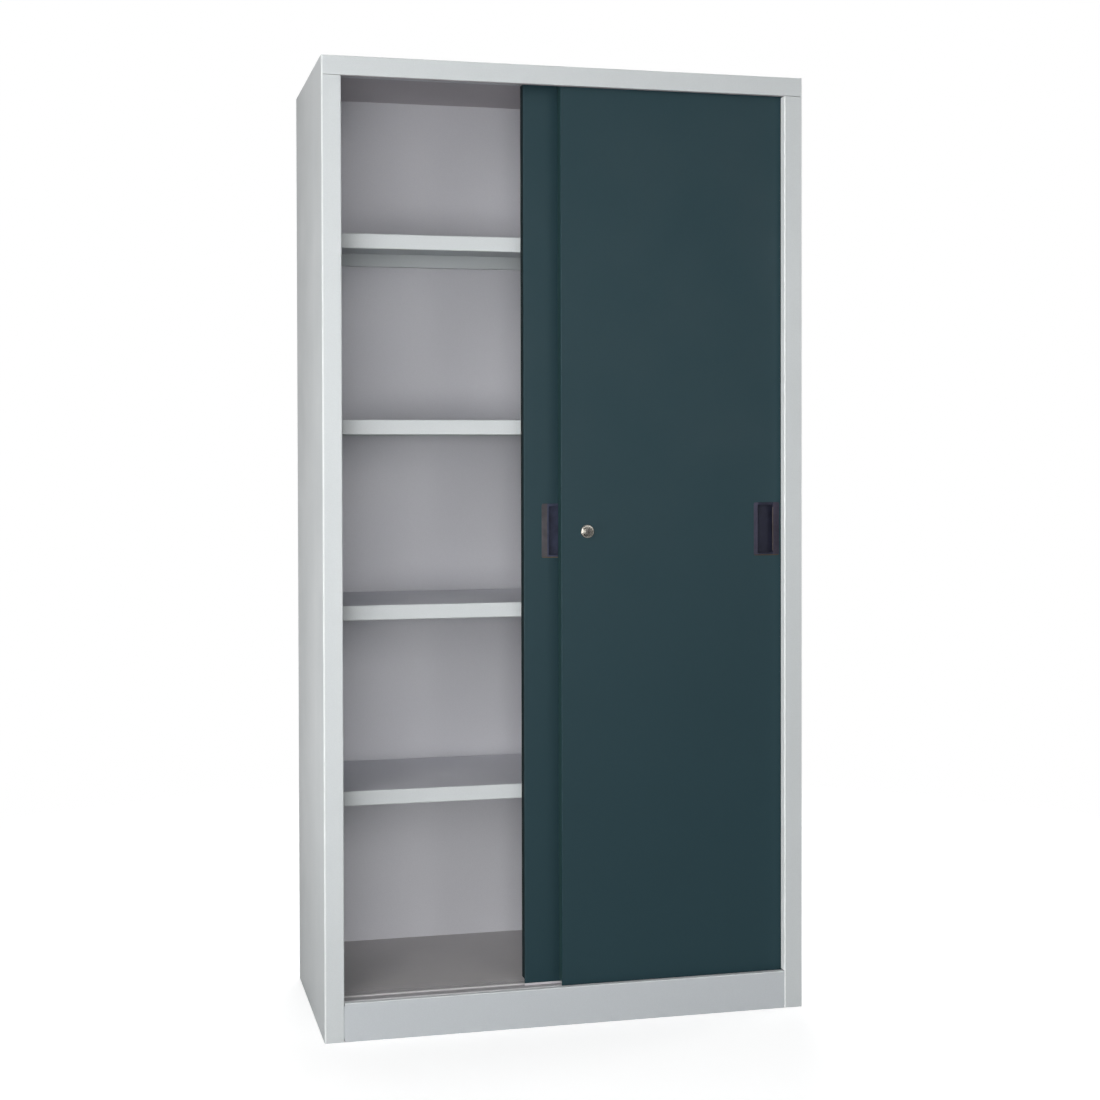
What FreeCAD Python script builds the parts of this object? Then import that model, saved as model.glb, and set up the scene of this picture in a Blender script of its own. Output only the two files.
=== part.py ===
"""Sliding door cabinet: a folded steel carcass with four shelves and two sliding doors.

The frame is that of the cabinet standing on a floor: X runs to the right, Y to the rear and
Z up. The origin is on the floor, under the middle of the cabinet. All lengths are in mm.
"""
import FreeCAD, Part
import os
import re

import Sketcher

doc = FreeCAD.newDocument("sliding_door_cabinet")

# ---------------------------------------------------------------------------
# Driving dimensions
# ---------------------------------------------------------------------------

DIMENSIONS = {
    # carcass
    "width": 1000,
    "depth": 470,
    "height": 1940,
    "gauge": 1,
    "bend": 2,
    "seam": 0.8,
    "post_width": 39,
    "post_return": 20,
    "post_strip": 4,
    "rail_height": 38,
    "rail_return": 12,
    "rear_flange": 20,
    "foot_flange": 20,
    "top_flange": 20,
    "back_inset": 10,
    "back_lip": 14,
    "plinth_height": 77,
    "plinth_return": 9,
    "plinth_foot": 20,
    "plinth_tab": 24,
    "floor_top": 76,
    "floor_front": 76,
    "floor_flange": 25,
    "ledge_front": 2,
    "floor_bracket_leg": 24,
    # tracks
    "track_front": 10,
    "track_base": 2,
    "rib_top": 71.5,
    "rib_rise": 3,
    "rib_width": 5.5,
    "rib_round": 1,
    "groove_width": 20,
    "groove_depth": 24,
    "groove_lip": 12,
    # shelves and what carries them
    "shelf_first": 479,
    "shelf_slots": 13,
    "shelf_front": 90,
    "shelf_depth": 366,
    "shelf_side_gap": 14,
    "shelf_flange": 30,
    "shelf_lip": 12,
    "upright_crown": 25,
    "upright_foot": 8,
    "upright_rise": 12,
    "upright_top": 1870,
    "front_upright": 111,
    "rear_upright": 435,
    "slot_pitch": 28.85,
    "slot_count": 62,
    "slot_width": 12,
    "slot_height": 5,
    "slot_below_shelf": 11,
    "clip_width": 18,
    "clip_tab": 16,
    "clip_leaf": 16,
    "clip_gauge": 2,
    "clip_hook_width": 10,
    "clip_hook_height": 4,
    "clip_hook_reach": 3,
    # doors
    "door_setback": 22,
    "door_pitch": 35,
    "door_depth": 25,
    "door_bottom": 74,
    "door_top": 1912,
    "door_lip": 15,
    "front_door_width": 508,
    "rear_door_width": 578,
    "stop_gap": 5,
    "pan_bottom": 82,
    "skirt_edge": 3,
    "roller_opening": 35,
    "stiffener_crown": 40,
    "stiffener_foot": 15,
    "stiffener_rise": 19,
    "stiffener_end": 14,
    "bumper_radius": 8,
    "bumper_thickness": 3.7,
    "bumper_low": 300,
    "bumper_high": 1650,
    # pulls
    "pull_width": 56,
    "pull_height": 111,
    "pull_proud": 1,
    "pull_corner": 4,
    "pull_chamfer": 0.5,
    "pull_centre": 1002,
    "pull_from_edge": 65.5,
    "recess_inner": 17.5,
    "recess_outer": 13.2,
    "recess_half_height": 50,
    "recess_depth": 14,
    "grip_reach": 6.5,
    "grip_cover": 3,
    "grip_half_height": 48.5,
    "pull_wall": 2,
    "pull_bevel": 2.5,
    "grip_ridge": 1.4,
    "grip_ridge_half_height": 45,
    "grip_band": 8,
    "grip_band_drop": 0.6,
    # lock
    "lock_from_edge": 55,
    "lock_height": 1001,
    "bezel_radius": 14,
    "bezel_rise": 3.5,
    "bezel_round": 3,
    "barrel_radius": 11,
    "barrel_end_wall": 2,
    "plunger_radius": 9.5,
    "plunger_proud": 13,
    "plunger_round": 1.5,
    "plunger_shoulder": 10,
    "bolt_radius": 4,
    "running_gap": 0.05,
    "plug_radius": 6,
    "plug_length": 16,
    "keyway_width": 1.6,
    "keyway_height": 8,
    "keyway_depth": 9,
    "nut_corner": 16,
    "nut_thickness": 4,
    "spring_radius": 5.6,
    "spring_wire": 0.6,
    "spring_turns": 6,
    "strike_crown": 24,
    "strike_foot": 8,
    "strike_rise": 7,
    "strike_height": 40,
    "strike_hole_radius": 6,
    # rollers and guides
    "roller_tread_radius": 11,
    "roller_flange_radius": 13.2,
    "roller_width": 12,
    "roller_groove": 6.7,
    "roller_slope": 0.85,
    "roller_gap": 0.3,
    "roller_from_edge": 60,
    "axle_radius": 2.5,
    "axle_head_radius": 4,
    "axle_head": 1.8,
    "bracket_length": 32,
    "bracket_gauge": 1.5,
    "bracket_clear": 0.5,
    "bracket_below": 6,
    "bracket_above": 16,
    "bracket_foot": 11,
    "bracket_round": 5,
    "shoe_width": 18.5,
    "shoe_length": 40,
    "shoe_height": 21,
    "shoe_foot_length": 64,
    "shoe_foot_height": 2.5,
    "shoe_chamfer": 3,
    # rivets that hold the back panel
    "rivet_radius": 2,
    "rivet_head_radius": 4,
    "rivet_head": 1.5,
    "rivet_inset": 10,
    "rivet_first": 120,
    "rivet_pitch": 340,
    "rivet_count": 6,
}

sheet = doc.addObject("Spreadsheet::Sheet", "Dims")
for row, (alias, number) in enumerate(DIMENSIONS.items(), start=1):
    sheet.set(f"A{row}", alias)
    sheet.set(f"B{row}", str(number))
    sheet.setAlias(f"B{row}", alias)
doc.recompute()


# ---------------------------------------------------------------------------
# Expressions over the sheet
# ---------------------------------------------------------------------------

def bound(text):
    """Point every dimension named in an expression at its cell."""
    return re.sub(r"[a-z][a-z_]*", lambda name: "Dims." + name.group(), text)


def value(text):
    """Number that an expression over the sheet stands for."""
    return float(sheet.evalExpression(bound(text)))


def left(inset):
    """X of a place that far inside the left outer face."""
    return f"({inset} - width / 2)"


def right(inset):
    """X of a place that far inside the right outer face."""
    return f"(width / 2 - ({inset}))"


def behind(distance):
    """Y of a place that far behind the front plane."""
    return f"({distance} - depth / 2)"


def below(distance):
    """Z of a place that far under the top."""
    return f"(height - ({distance}))"


REAR = "(depth / 2 - rivet_head)"
BACK_FACE = "(depth / 2 - back_inset)"
LEDGE = "(rib_top - rib_rise - track_base)"
AXLE_HEIGHT = "(rib_top + roller_tread_radius + roller_gap)"
FRONT_RUNNER = "(door_setback + door_depth / 2)"
REAR_RUNNER = "(door_setback + door_pitch + door_depth / 2)"
SHELF_STEP = "(shelf_slots * slot_pitch)"
SHELF_COUNT = 4


# ---------------------------------------------------------------------------
# Building blocks
# ---------------------------------------------------------------------------

def place(item, x="0", y="0", z="0"):
    """Bind an object's position to the sheet."""
    for axis, text in (("x", x), ("y", y), ("z", z)):
        item.setExpression(f"Placement.Base.{axis}", bound(text))


def new_body(label, x="0", y="0", z="0"):
    body = doc.addObject("PartDesign::Body", label)
    body.Label = label
    place(body, x, y, z)
    return body


def rectangle(low_x, low_y, high_x, high_y):
    return [(low_x, low_y), (high_x, low_y), (high_x, high_y), (low_x, high_y)]


def round_hole(x, y, radius):
    return (x, y, radius)


def draw_polygon(sketch, corners):
    """Closed loop of straight lines whose corners all follow the sheet."""
    first = sketch.GeometryCount
    count = len(corners)
    points = [FreeCAD.Vector(value(x), value(y), 0) for x, y in corners]
    sketch.addGeometry([Part.LineSegment(points[i], points[(i + 1) % count]) for i in range(count)])
    for index, (x, y) in enumerate(corners):
        line = first + index
        following = first + (index + 1) % count
        sketch.addConstraint(Sketcher.Constraint("Coincident", line, 2, following, 1))
        for kind, text in (("DistanceX", x), ("DistanceY", y)):
            constraint = Sketcher.Constraint(kind, -1, 1, line, 1, value(text))
            number = sketch.addConstraint(constraint)
            sketch.setExpression(f"Constraints[{number}]", bound(text))


def draw_circle(sketch, x, y, radius):
    """Circle whose centre and radius follow the sheet."""
    centre = FreeCAD.Vector(value(x), value(y), 0)
    up = FreeCAD.Vector(0, 0, 1)
    circle = sketch.addGeometry(Part.Circle(centre, up, value(radius)))
    for kind, text in (("DistanceX", x), ("DistanceY", y)):
        number = sketch.addConstraint(Sketcher.Constraint(kind, -1, 1, circle, 3, value(text)))
        sketch.setExpression(f"Constraints[{number}]", bound(text))
    number = sketch.addConstraint(Sketcher.Constraint("Radius", circle, value(radius)))
    sketch.setExpression(f"Constraints[{number}]", bound(radius))


def new_sketch(body, name, plane, loops, start="0"):
    """Sketch on one of the body's own planes, moved to start along the plane's positive axis."""
    sketch = body.newObject("Sketcher::SketchObject", name)
    origin_plane = next(item for item in body.Origin.OriginFeatures if item.Role == plane + "_Plane")
    sketch.AttachmentSupport = (origin_plane, [""])
    sketch.MapMode = "FlatFace"
    # the normal of the XZ plane points along -Y
    offset = f"-({start})" if plane == "XZ" else start
    sketch.setExpression("AttachmentOffset.Base.z", bound(offset))
    for loop in loops:
        if isinstance(loop, tuple):
            draw_circle(sketch, *loop)
        else:
            draw_polygon(sketch, loop)
    return sketch


def prism(body, name, plane, loops, start, length):
    """Pad of a profile from start, by length, towards the positive axis."""
    pad = body.newObject("PartDesign::Pad", name)
    pad.Profile = new_sketch(body, name + "_sketch", plane, loops, start)
    pad.setExpression("Length", bound(length))
    pad.Reversed = plane == "XZ"
    doc.recompute()
    return pad


def cut(body, name, plane, loops, start, length):
    """Pocket of a profile from start, by length, towards the positive axis."""
    before = body.Shape.Volume
    pocket = body.newObject("PartDesign::Pocket", name)
    pocket.Profile = new_sketch(body, name + "_sketch", plane, loops, start)
    pocket.setExpression("Length", bound(length))
    pocket.Reversed = plane != "XZ"
    doc.recompute()
    if not body.Shape.Volume < before - 1e-3:
        raise RuntimeError(f"{body.Label}: {name} removes nothing")
    return pocket


def turned(body, name, corners):
    """Solid of revolution about the Y axis; every corner is a radius and a place along Y."""
    revolution = body.newObject("PartDesign::Revolution", name)
    sketch = new_sketch(body, name + "_sketch", "XY", [corners])
    revolution.Profile = sketch
    revolution.ReferenceAxis = (sketch, ["V_Axis"])
    revolution.Angle = 360
    doc.recompute()
    return revolution


def edges_at(shape, **where):
    """Names of the edges whose middle lies at the given coordinates."""
    names = []
    for number, edge in enumerate(shape.Edges, start=1):
        middle = edge.CenterOfMass
        if all(abs(getattr(middle, axis) - value(text)) < 0.01 for axis, text in where.items()):
            names.append(f"Edge{number}")
    return names


def soften(body, kind, name, places, size):
    """Fillet or chamfer on the edges found at each of the places."""
    base = body.Tip
    names = [edge for where in places for edge in edges_at(base.Shape, **where)]
    feature = body.newObject("PartDesign::" + kind, name)
    feature.Base = (base, names)
    feature.setExpression("Radius" if kind == "Fillet" else "Size", bound(size))
    doc.recompute()
    return feature


def round_rim(body, name, radius, along, size):
    """Fillet on the circular edge of a turned piece with that radius, at that place along Y."""
    base = body.Tip
    rims = [
        f"Edge{number}" for number, edge in enumerate(base.Shape.Edges, start=1)
        if isinstance(edge.Curve, Part.Circle)
        and abs(edge.Curve.Radius - value(radius)) < 0.01
        and abs(edge.Curve.Center.y - value(along)) < 0.01
    ]
    fillet = body.newObject("PartDesign::Fillet", name)
    fillet.Base = (base, rims)
    fillet.setExpression("Radius", bound(size))
    doc.recompute()
    return fillet


def hat(centre, crown, foot, rise, near, sign=1):
    """Hat profile: feet at near, and a crown that far off it; as pairs along and across."""
    def point(along, across):
        return (f"{centre} + {along}", f"{near} + {sign} * ({across})")

    half = f"{crown} / 2"
    return [
        point(f"(-{half} - {foot})", "0"),
        point(f"(-{half} - {foot})", "gauge"),
        point(f"(-{half})", "gauge"),
        point(f"(-{half})", rise),
        point(half, rise),
        point(half, "gauge"),
        point(f"({half} + {foot})", "gauge"),
        point(f"({half} + {foot})", "0"),
        point(f"({half} - gauge)", "0"),
        point(f"({half} - gauge)", f"{rise} - gauge"),
        point(f"(gauge - {half})", f"{rise} - gauge"),
        point(f"(gauge - {half})", "0"),
    ]


def swapped(corners):
    return [(second, first) for first, second in corners]


def solid_group(label, solids):
    """One node that holds several separate, alike solids."""
    group = doc.addObject("Part::Feature", label)
    group.Label = label
    group.Shape = Part.makeCompound(solids)
    return group


# ---------------------------------------------------------------------------
# Carcass
# ---------------------------------------------------------------------------

def rivet_heights():
    count = int(value("rivet_count"))
    return [f"(rivet_first + {index} * rivet_pitch)" for index in range(count)]


def side_panel(label, side):
    """Folded side: web, front post with its inward return, rear flange and foot flange."""
    def inside(inset):
        return f"{side} * (width / 2 - ({inset}))"

    body = new_body(label)
    profile = [
        (inside("0"), behind("0")),
        (inside("post_width"), behind("0")),
        (inside("post_width"), behind("post_return")),
        (inside("post_width - gauge"), behind("post_return")),
        (inside("post_width - gauge"), behind("gauge")),
        (inside("gauge"), behind("gauge")),
        (inside("gauge"), f"{REAR} - gauge"),
        (inside("rear_flange"), f"{REAR} - gauge"),
        (inside("rear_flange"), REAR),
        (inside("0"), REAR),
    ]
    prism(body, "folded_sheet", "XY", [profile], "0", "height")
    foot = rectangle(inside("0"), behind("gauge"), inside("foot_flange"), f"{REAR} - gauge")
    prism(body, "foot", "XY", [foot], "0", "gauge")
    bends = [
        {"x": inside("0"), "y": behind("0")},
        {"x": inside("post_width"), "y": behind("0")},
        {"x": inside("0"), "y": REAR},
    ]
    soften(body, "Fillet", "bends", bends, "bend")
    rail_seat = rectangle(
        inside("post_strip"), behind("-1"), inside("post_width + 1"), behind("post_return + 1")
    )
    cut(body, "rail_seat", "XY", [rail_seat], below("rail_height + seam"), "rail_height + seam")
    notch = rectangle(
        inside("post_width - gauge - 1"), behind("gauge"), inside("post_width + 1"), behind("post_return + 1")
    )
    cut(body, "base_notch", "XY", [notch], "0", "plinth_height + gauge")
    holes = [round_hole(inside("rivet_inset"), z, "rivet_radius") for z in rivet_heights()]
    cut(body, "rivet_holes", "XZ", holes, f"{REAR} - gauge", "gauge")
    return body


def top_panel():
    """Top sheet with the front rail folded down from it, and flanges at the rear and sides."""
    body = new_body("top_panel")
    profile = [
        (behind("0"), "height"),
        (behind("0"), below("rail_height")),
        (behind("rail_return"), below("rail_height")),
        (behind("rail_return"), below("rail_height - gauge")),
        (behind("gauge"), below("rail_height - gauge")),
        (behind("gauge"), below("gauge")),
        (f"{REAR} - gauge", below("gauge")),
        (f"{REAR} - gauge", below("rear_flange")),
        (REAR, below("rear_flange")),
        (REAR, "height"),
    ]
    prism(body, "folded_sheet", "YZ", [profile], left("gauge"), "width - 2 * gauge")
    bends = [
        {"y": behind("0"), "z": "height"},
        {"y": behind("0"), "z": below("rail_height")},
        {"y": REAR, "z": "height"},
    ]
    soften(body, "Fillet", "bends", bends, "bend")
    side_flanges = [
        rectangle(left("gauge"), behind("shelf_front"), left("2 * gauge"), f"{REAR} - rear_flange"),
        rectangle(right("2 * gauge"), behind("shelf_front"), right("gauge"), f"{REAR} - rear_flange"),
    ]
    prism(body, "side_flanges", "XY", side_flanges, below("top_flange"), "top_flange - gauge")
    for name, start, run, inset, drop in (
        ("front_corners", behind("-1"), "1 + bend", "post_strip", "rail_height + 1"),
        ("rear_corners", f"{REAR} - bend", "bend + 1", "rear_flange", "rear_flange + 1"),
    ):
        ends = [
            rectangle(left("0"), below(drop), left(inset), below("-1")),
            rectangle(right(inset), below(drop), right("0"), below("-1")),
        ]
        cut(body, name, "XZ", ends, start, run)
    return body


def back_panel():
    """Back sheet with rearward edges and lips that lie against the sides' rear flanges."""
    body = new_body("back_panel")
    profile = [
        (left("gauge"), BACK_FACE),
        (right("gauge"), BACK_FACE),
        (right("gauge"), f"{REAR} - gauge"),
        (right("gauge + back_lip"), f"{REAR} - gauge"),
        (right("gauge + back_lip"), f"{REAR} - 2 * gauge"),
        (right("2 * gauge"), f"{REAR} - 2 * gauge"),
        (right("2 * gauge"), f"{BACK_FACE} + gauge"),
        (left("2 * gauge"), f"{BACK_FACE} + gauge"),
        (left("2 * gauge"), f"{REAR} - 2 * gauge"),
        (left("gauge + back_lip"), f"{REAR} - 2 * gauge"),
        (left("gauge + back_lip"), f"{REAR} - gauge"),
        (left("gauge"), f"{REAR} - gauge"),
    ]
    prism(body, "folded_sheet", "XY", [profile], "gauge", "height - 2 * gauge")
    end = rectangle(left("gauge"), BACK_FACE, right("gauge"), f"{REAR} - gauge")
    prism(body, "lower_edge", "XY", [end], "gauge", "gauge")
    prism(body, "upper_edge", "XY", [end], below("2 * gauge"), "gauge")
    holes = [round_hole(x("rivet_inset"), z, "rivet_radius") for x in (left, right) for z in rivet_heights()]
    cut(body, "rivet_holes", "XZ", holes, f"{REAR} - 2 * gauge", "gauge")
    return body


def back_rivets():
    """Domed rivets through the sides' rear flanges and the back panel's lips."""
    head_radius = value("rivet_head_radius")
    head = value("rivet_head")
    grip = value("2 * gauge")
    rearward = FreeCAD.Vector(0, 1, 0)
    solids = []
    for x in (left, right):
        for z in rivet_heights():
            seat = FreeCAD.Vector(value(x("rivet_inset")), value(REAR), value(z))
            dome = Part.makeCylinder(head_radius, head, seat, rearward)
            rim = [edge for edge in dome.Edges if edge.CenterOfMass.y > seat.y + head - 0.01]
            dome = dome.makeFillet(0.8 * head, rim)
            shank = Part.makeCylinder(value("rivet_radius"), grip, seat - rearward * grip, rearward)
            solids.append(dome.fuse(shank).removeSplitter())
    return solid_group("back_rivets", solids)


def plinth():
    """Front base board between the posts, with tabs that reach behind them."""
    body = new_body("plinth")
    profile = [
        (behind("0"), "0"),
        (behind("0"), "plinth_height"),
        (behind("plinth_return"), "plinth_height"),
        (behind("plinth_return"), "plinth_height - gauge"),
        (behind("gauge"), "plinth_height - gauge"),
        (behind("gauge"), "gauge"),
        (behind("plinth_foot"), "gauge"),
        (behind("plinth_foot"), "0"),
    ]
    prism(body, "folded_sheet", "YZ", [profile], left("post_width + seam"), "width - 2 * (post_width + seam)")
    soften(body, "Fillet", "top_bend", [{"y": behind("0"), "z": "plinth_height"}], "bend")
    tab_outer = "post_width - plinth_tab"
    tab_inner = "post_width + 8"
    tabs = [
        rectangle(left(tab_outer), "6 * gauge", left(tab_inner), "plinth_height - 6 * gauge"),
        rectangle(right(tab_inner), "6 * gauge", right(tab_outer), "plinth_height - 6 * gauge"),
    ]
    prism(body, "tabs", "XZ", tabs, behind("gauge"), "gauge")
    return body


def floor_panel():
    """Floor with a lower ledge in front that carries the bottom track."""
    body = new_body("floor_panel")
    profile = [
        (BACK_FACE, "floor_top"),
        (behind("floor_front"), "floor_top"),
        (behind("floor_front"), LEDGE),
        (behind("ledge_front"), LEDGE),
        (behind("ledge_front"), f"{LEDGE} - floor_flange"),
        (behind("ledge_front + gauge"), f"{LEDGE} - floor_flange"),
        (behind("ledge_front + gauge"), f"{LEDGE} - gauge"),
        (behind("floor_front + gauge"), f"{LEDGE} - gauge"),
        (behind("floor_front + gauge"), "floor_top - gauge"),
        (f"{BACK_FACE} - gauge", "floor_top - gauge"),
        (f"{BACK_FACE} - gauge", "floor_top - floor_flange"),
        (BACK_FACE, "floor_top - floor_flange"),
    ]
    prism(body, "folded_sheet", "YZ", [profile], left("gauge"), "width - 2 * gauge")
    return body


def floor_bracket(label, side):
    """Angle on a side panel that carries one end of the floor."""
    def inside(inset):
        return f"{side} * (width / 2 - ({inset}))"

    body = new_body(label)
    top = "floor_top - gauge"
    profile = [
        (inside("gauge"), top),
        (inside("gauge + floor_bracket_leg"), top),
        (inside("gauge + floor_bracket_leg"), f"{top} - gauge"),
        (inside("2 * gauge"), f"{top} - gauge"),
        (inside("2 * gauge"), f"{top} - floor_bracket_leg"),
        (inside("gauge"), f"{top} - floor_bracket_leg"),
    ]
    start = behind("floor_front + 4 * gauge")
    length = "depth - floor_front - back_inset - 8 * gauge"
    prism(body, "angle", "XZ", [profile], start, length)
    return body


def bottom_track():
    """Extruded track with one rib for each door's rollers."""
    body = new_body("bottom_track")
    half = "rib_width / 2"
    trough = "(rib_top - rib_rise)"
    front_rib = behind(FRONT_RUNNER)
    rear_rib = behind(REAR_RUNNER)
    profile = [
        (behind("track_front"), LEDGE),
        (behind("floor_front"), LEDGE),
        (behind("floor_front"), trough),
        (f"{rear_rib} + {half}", trough),
        (f"{rear_rib} + {half}", "rib_top"),
        (f"{rear_rib} - {half}", "rib_top"),
        (f"{rear_rib} - {half}", trough),
        (f"{front_rib} + {half}", trough),
        (f"{front_rib} + {half}", "rib_top"),
        (f"{front_rib} - {half}", "rib_top"),
        (f"{front_rib} - {half}", trough),
        (behind("track_front"), trough),
    ]
    prism(body, "extrusion", "YZ", [profile], left("2 * gauge"), "width - 4 * gauge")
    crests = [{"y": f"{rib} {side} {half}", "z": "rib_top"} for rib in (front_rib, rear_rib) for side in "+-"]
    soften(body, "Fillet", "rib_crests", crests, "rib_round")
    return body


def top_track():
    """Folded guide track with one upside-down groove for each door's shoes."""
    body = new_body("top_track")
    mouth = below("gauge + groove_depth")
    roof = below("gauge")
    half = "groove_width / 2"
    front_groove = behind(FRONT_RUNNER)
    rear_groove = behind(REAR_RUNNER)
    inner = [
        (f"{front_groove} - {half} - groove_lip", mouth),
        (f"{front_groove} - {half}", mouth),
        (f"{front_groove} - {half}", f"{roof} - gauge"),
        (f"{front_groove} + {half}", f"{roof} - gauge"),
        (f"{front_groove} + {half}", mouth),
        (f"{rear_groove} - {half}", mouth),
        (f"{rear_groove} - {half}", f"{roof} - gauge"),
        (f"{rear_groove} + {half}", f"{roof} - gauge"),
        (f"{rear_groove} + {half}", mouth),
        (f"{rear_groove} + {half} + groove_lip", mouth),
    ]
    outer = [
        (f"{rear_groove} + {half} + groove_lip", f"{mouth} + gauge"),
        (f"{rear_groove} + {half} + gauge", f"{mouth} + gauge"),
        (f"{rear_groove} + {half} + gauge", roof),
        (f"{rear_groove} - {half} - gauge", roof),
        (f"{rear_groove} - {half} - gauge", f"{mouth} + gauge"),
        (f"{front_groove} + {half} + gauge", f"{mouth} + gauge"),
        (f"{front_groove} + {half} + gauge", roof),
        (f"{front_groove} - {half} - gauge", roof),
        (f"{front_groove} - {half} - gauge", f"{mouth} + gauge"),
        (f"{front_groove} - {half} - groove_lip", f"{mouth} + gauge"),
    ]
    prism(body, "folded_sheet", "YZ", [inner + outer], left("2 * gauge"), "width - 4 * gauge")
    return body


def upright(label, side, distance):
    """Slotted hat section on a side panel; the shelf clips hook into its crown."""
    body = new_body(label)
    profile = hat(behind(distance), "upright_crown", "upright_foot", "upright_rise",
                  f"{side} * (width / 2 - gauge)", -side)
    prism(body, "hat_section", "XY", [swapped(profile)], "floor_top", "upright_top - floor_top")
    first_slot = "(shelf_first - shelf_flange - slot_below_shelf - 12 * slot_pitch)"
    slot = rectangle(
        f"{behind(distance)} - slot_width / 2", f"{first_slot} - slot_height / 2",
        f"{behind(distance)} + slot_width / 2", f"{first_slot} + slot_height / 2"
    )
    crown_face = "(width / 2 - gauge - upright_rise)"
    start = crown_face if side > 0 else f"-{crown_face} - gauge"
    pocket = cut(body, "slot", "YZ", [slot], start, "gauge")
    pattern = body.newObject("PartDesign::LinearPattern", "slots")
    pattern.Originals = [pocket]
    pattern.Direction = (pocket.Profile[0], ["V_Axis"])
    pattern.setExpression("Length", bound("(slot_count - 1) * slot_pitch"))
    pattern.Occurrences = int(value("slot_count"))
    body.Tip = pattern
    doc.recompute()
    return body


def shelf_top(index):
    return f"(shelf_first + {index} * {SHELF_STEP})"


def shelf(index):
    """Folded tray: a flange and a bottom lip along all four edges."""
    body = new_body(f"shelf_{index + 1}", y=behind("shelf_front"), z=shelf_top(index))
    half = "(width / 2 - shelf_side_gap)"
    outer = rectangle(f"-{half}", "0", half, "shelf_depth")
    prism(body, "block", "XY", [outer], "-shelf_flange", "shelf_flange")
    cavity = rectangle(f"gauge - {half}", "gauge", f"{half} - gauge", "shelf_depth - gauge")
    cut(body, "cavity", "XY", [cavity], "gauge - shelf_flange", "shelf_flange - 2 * gauge")
    mouth = rectangle(f"shelf_lip - {half}", "shelf_lip", f"{half} - shelf_lip", "shelf_depth - shelf_lip")
    cut(body, "mouth", "XY", [mouth], "-shelf_flange", "gauge")
    bends = [
        {"y": "0", "z": "0"},
        {"y": "0", "z": "-shelf_flange"},
        {"y": "shelf_depth", "z": "0"},
        {"x": half, "z": "0"},
        {"x": f"-{half}", "z": "0"},
    ]
    soften(body, "Fillet", "bends", bends, "bend")
    return body


def shelf_clip(side, distance, underside):
    """Bent plate: a tab under the shelf, a leaf on the upright and a hook through its slot."""
    width = value("clip_width")
    gauge = value("clip_gauge")
    hook_width = value("clip_hook_width")
    hook_height = value("clip_hook_height")
    crown = value("width / 2 - gauge - upright_rise")
    middle = value(behind(distance))
    slot = underside - value("slot_below_shelf")

    def block(depth_in, depth_out, breadth, low, high):
        """Box from one distance inside the crown face to another."""
        near, far = sorted((side * (crown - depth_in), side * (crown - depth_out)))
        corner = FreeCAD.Vector(near, middle - breadth / 2, low)
        return Part.makeBox(far - near, breadth, high - low, corner)

    tab = block(0, value("clip_tab"), width, underside - gauge, underside)
    leaf = block(0, gauge, width, underside - value("clip_leaf") - gauge, underside)
    hook = block(-value("clip_hook_reach"), gauge, hook_width, slot - hook_height / 2, slot + hook_height / 2)
    return tab.fuse([leaf, hook]).removeSplitter()


def shelf_clips():
    solids = []
    for index in range(SHELF_COUNT):
        underside = value(f"{shelf_top(index)} - shelf_flange")
        for side in (-1, 1):
            for distance in ("front_upright", "rear_upright"):
                solids.append(shelf_clip(side, distance, underside))
    return solid_group("shelf_clips", solids)


def door_bumpers():
    """Rubber discs on the side panels that stop the doors at both ends of their travel."""
    radius = value("bumper_radius")
    thickness = value("bumper_thickness")
    solids = []
    for side in (-1, 1):
        for runner in (FRONT_RUNNER, REAR_RUNNER):
            for height in ("bumper_low", "bumper_high"):
                seat = FreeCAD.Vector(side * value("width / 2 - gauge"), value(behind(runner)), value(height))
                inward = FreeCAD.Vector(-side, 0, 0)
                disc = Part.makeCylinder(radius, thickness, seat, inward)
                rim = [edge for edge in disc.Edges if abs(edge.CenterOfMass.x - seat.x) > thickness - 0.01]
                solids.append(disc.makeFillet(thickness / 4, rim))
    return solid_group("door_bumpers", solids)


# ---------------------------------------------------------------------------
# Doors
# ---------------------------------------------------------------------------

class Door:
    """One door; its own frame starts at the left end of its front face, at floor level."""

    def __init__(self, name, width, setback, pull_side):
        self.name = name
        self.width = width
        self.x = right(f"stop_gap + {width}")
        self.y = behind(setback)
        self.pull_side = pull_side

    def label(self, piece):
        return f"{self.name}_{piece}"

    def across(self, along):
        """Row X of a place that far from the door's left edge."""
        return f"{self.x} + {along}"

    def pull_x(self):
        if self.pull_side > 0:
            return f"({self.width} - pull_from_edge)"
        return "pull_from_edge"


FRONT_DOOR = Door("front", "front_door_width", "door_setback", 1)
REAR_DOOR = Door("rear", "rear_door_width", "(door_setback + door_pitch)", -1)
LOCK_ALONG = "lock_from_edge"
STRIKE_ALONG = "(width - 2 * stop_gap - front_door_width + lock_from_edge)"


def mirrored_span(side, inner, outer):
    """Low and high ends of a span that runs from -inner to outer on the pull's side."""
    if side > 0:
        return f"-{inner}", outer
    return f"-{outer}", inner


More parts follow.
